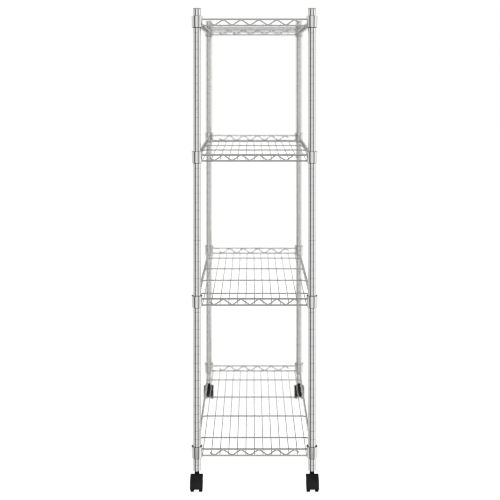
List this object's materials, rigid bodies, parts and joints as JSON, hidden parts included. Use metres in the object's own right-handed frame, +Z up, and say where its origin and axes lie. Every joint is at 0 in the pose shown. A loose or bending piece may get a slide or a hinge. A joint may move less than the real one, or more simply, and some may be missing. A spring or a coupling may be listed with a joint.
{
  "type": "wire shelving rack",
  "caption": "Tall narrow free-standing chrome rack: welded wire shelves with raised truss edges hang by corner collars on grooved round posts that roll on twin-wheel swivel casters.",
  "frame": {"origin": "centre of the footprint on the floor, which is the bounding box's bottom centre", "axes": "+Z up, +X along the short side to the right as seen in the picture, +Y along the long side away from the viewer"},
  "size_m": [0.3622, 0.7844, 1.3675],
  "materials": {
    "chrome": "bright chrome plate",
    "zinc_steel": "zinc-plated steel",
    "cap_plastic": "grey moulded plastic",
    "sleeve_plastic": "black moulded plastic",
    "hood_plastic": "black nylon, satin",
    "wheel_plastic": "black nylon, satin"
  },
  "bodies": {
    "posts": {"post_lower_front_left": "chrome", "post_upper_front_left": "chrome", "post_stud_front_left": "zinc_steel", "post_cap_front_left": "cap_plastic", "post_insert_front_left": "zinc_steel", "caster_front_left_stem": "zinc_steel", "post_lower_front_right": "chrome", "post_upper_front_right": "chrome", "post_stud_front_right": "zinc_steel", "post_cap_front_right": "cap_plastic", "post_insert_front_right": "zinc_steel", "caster_front_right_stem": "zinc_steel", "post_lower_rear_left": "chrome", "post_upper_rear_left": "chrome", "post_stud_rear_left": "zinc_steel", "post_cap_rear_left": "cap_plastic", "post_insert_rear_left": "zinc_steel", "caster_rear_left_stem": "zinc_steel", "post_lower_rear_right": "chrome", "post_upper_rear_right": "chrome", "post_stud_rear_right": "zinc_steel", "post_cap_rear_right": "cap_plastic", "post_insert_rear_right": "zinc_steel", "caster_rear_right_stem": "zinc_steel"},
    "top_shelf": {"shelf_top": "chrome", "sleeve_top_front_left": "sleeve_plastic", "sleeve_top_front_right": "sleeve_plastic", "sleeve_top_rear_left": "sleeve_plastic", "sleeve_top_rear_right": "sleeve_plastic"},
    "upper_shelf": {"shelf_upper": "chrome", "sleeve_upper_front_left": "sleeve_plastic", "sleeve_upper_front_right": "sleeve_plastic", "sleeve_upper_rear_left": "sleeve_plastic", "sleeve_upper_rear_right": "sleeve_plastic"},
    "lower_shelf": {"shelf_lower": "chrome", "sleeve_lower_front_left": "sleeve_plastic", "sleeve_lower_front_right": "sleeve_plastic", "sleeve_lower_rear_left": "sleeve_plastic", "sleeve_lower_rear_right": "sleeve_plastic"},
    "bottom_shelf": {"shelf_bottom": "chrome", "sleeve_bottom_front_left": "sleeve_plastic", "sleeve_bottom_front_right": "sleeve_plastic", "sleeve_bottom_rear_left": "sleeve_plastic", "sleeve_bottom_rear_right": "sleeve_plastic"},
    "swivel_front_left": {"caster_front_left_hood": "hood_plastic", "caster_front_left_axle": "zinc_steel"},
    "left_wheel_front_left": {"caster_front_left_wheel_left": "wheel_plastic"},
    "right_wheel_front_left": {"caster_front_left_wheel_right": "wheel_plastic"},
    "swivel_front_right": {"caster_front_right_hood": "hood_plastic", "caster_front_right_axle": "zinc_steel"},
    "left_wheel_front_right": {"caster_front_right_wheel_left": "wheel_plastic"},
    "right_wheel_front_right": {"caster_front_right_wheel_right": "wheel_plastic"},
    "swivel_rear_left": {"caster_rear_left_hood": "hood_plastic", "caster_rear_left_axle": "zinc_steel"},
    "left_wheel_rear_left": {"caster_rear_left_wheel_left": "wheel_plastic"},
    "right_wheel_rear_left": {"caster_rear_left_wheel_right": "wheel_plastic"},
    "swivel_rear_right": {"caster_rear_right_hood": "hood_plastic", "caster_rear_right_axle": "zinc_steel"},
    "left_wheel_rear_right": {"caster_rear_right_wheel_left": "wheel_plastic"},
    "right_wheel_rear_right": {"caster_rear_right_wheel_right": "wheel_plastic"}
  },
  "joints": [
    {"name": "top_shelf_height", "type": "slide", "parent": "posts", "child": "top_shelf", "axis": [0, 0, 1], "range_m": [-0.144, 0]},
    {"name": "upper_shelf_height", "type": "slide", "parent": "posts", "child": "upper_shelf", "axis": [0, 0, 1], "range_m": [-0.144, 0.144]},
    {"name": "lower_shelf_height", "type": "slide", "parent": "posts", "child": "lower_shelf", "axis": [0, 0, 1], "range_m": [-0.144, 0.144]},
    {"name": "bottom_shelf_height", "type": "slide", "parent": "posts", "child": "bottom_shelf", "axis": [0, 0, 1], "range_m": [-0.024, 0.144]},
    {"name": "swivel_front_left", "type": "hinge", "parent": "posts", "child": "swivel_front_left", "pos_m": [-0.16365, -0.35065, 0.0506], "axis": [0, 0, 1], "continuous": true},
    {"name": "left_wheel_front_left_roll", "type": "hinge", "parent": "swivel_front_left", "child": "left_wheel_front_left", "pos_m": [-0.16365, -0.36725, 0.022], "axis": [1, 0, 0], "continuous": true},
    {"name": "right_wheel_front_left_roll", "type": "hinge", "parent": "swivel_front_left", "child": "right_wheel_front_left", "pos_m": [-0.16365, -0.36725, 0.022], "axis": [1, 0, 0], "continuous": true},
    {"name": "swivel_front_right", "type": "hinge", "parent": "posts", "child": "swivel_front_right", "pos_m": [0.16365, -0.35065, 0.0506], "axis": [0, 0, 1], "continuous": true},
    {"name": "left_wheel_front_right_roll", "type": "hinge", "parent": "swivel_front_right", "child": "left_wheel_front_right", "pos_m": [0.16365, -0.36725, 0.022], "axis": [1, 0, 0], "continuous": true},
    {"name": "right_wheel_front_right_roll", "type": "hinge", "parent": "swivel_front_right", "child": "right_wheel_front_right", "pos_m": [0.16365, -0.36725, 0.022], "axis": [1, 0, 0], "continuous": true},
    {"name": "swivel_rear_left", "type": "hinge", "parent": "posts", "child": "swivel_rear_left", "pos_m": [-0.16365, 0.37635, 0.0506], "axis": [0, 0, 1], "continuous": true},
    {"name": "left_wheel_rear_left_roll", "type": "hinge", "parent": "swivel_rear_left", "child": "left_wheel_rear_left", "pos_m": [-0.16365, 0.35975, 0.022], "axis": [1, 0, 0], "continuous": true},
    {"name": "right_wheel_rear_left_roll", "type": "hinge", "parent": "swivel_rear_left", "child": "right_wheel_rear_left", "pos_m": [-0.16365, 0.35975, 0.022], "axis": [1, 0, 0], "continuous": true},
    {"name": "swivel_rear_right", "type": "hinge", "parent": "posts", "child": "swivel_rear_right", "pos_m": [0.16365, 0.37635, 0.0506], "axis": [0, 0, 1], "continuous": true},
    {"name": "left_wheel_rear_right_roll", "type": "hinge", "parent": "swivel_rear_right", "child": "left_wheel_rear_right", "pos_m": [0.16365, 0.35975, 0.022], "axis": [1, 0, 0], "continuous": true},
    {"name": "right_wheel_rear_right_roll", "type": "hinge", "parent": "swivel_rear_right", "child": "right_wheel_rear_right", "pos_m": [0.16365, 0.35975, 0.022], "axis": [1, 0, 0], "continuous": true}
  ]
}
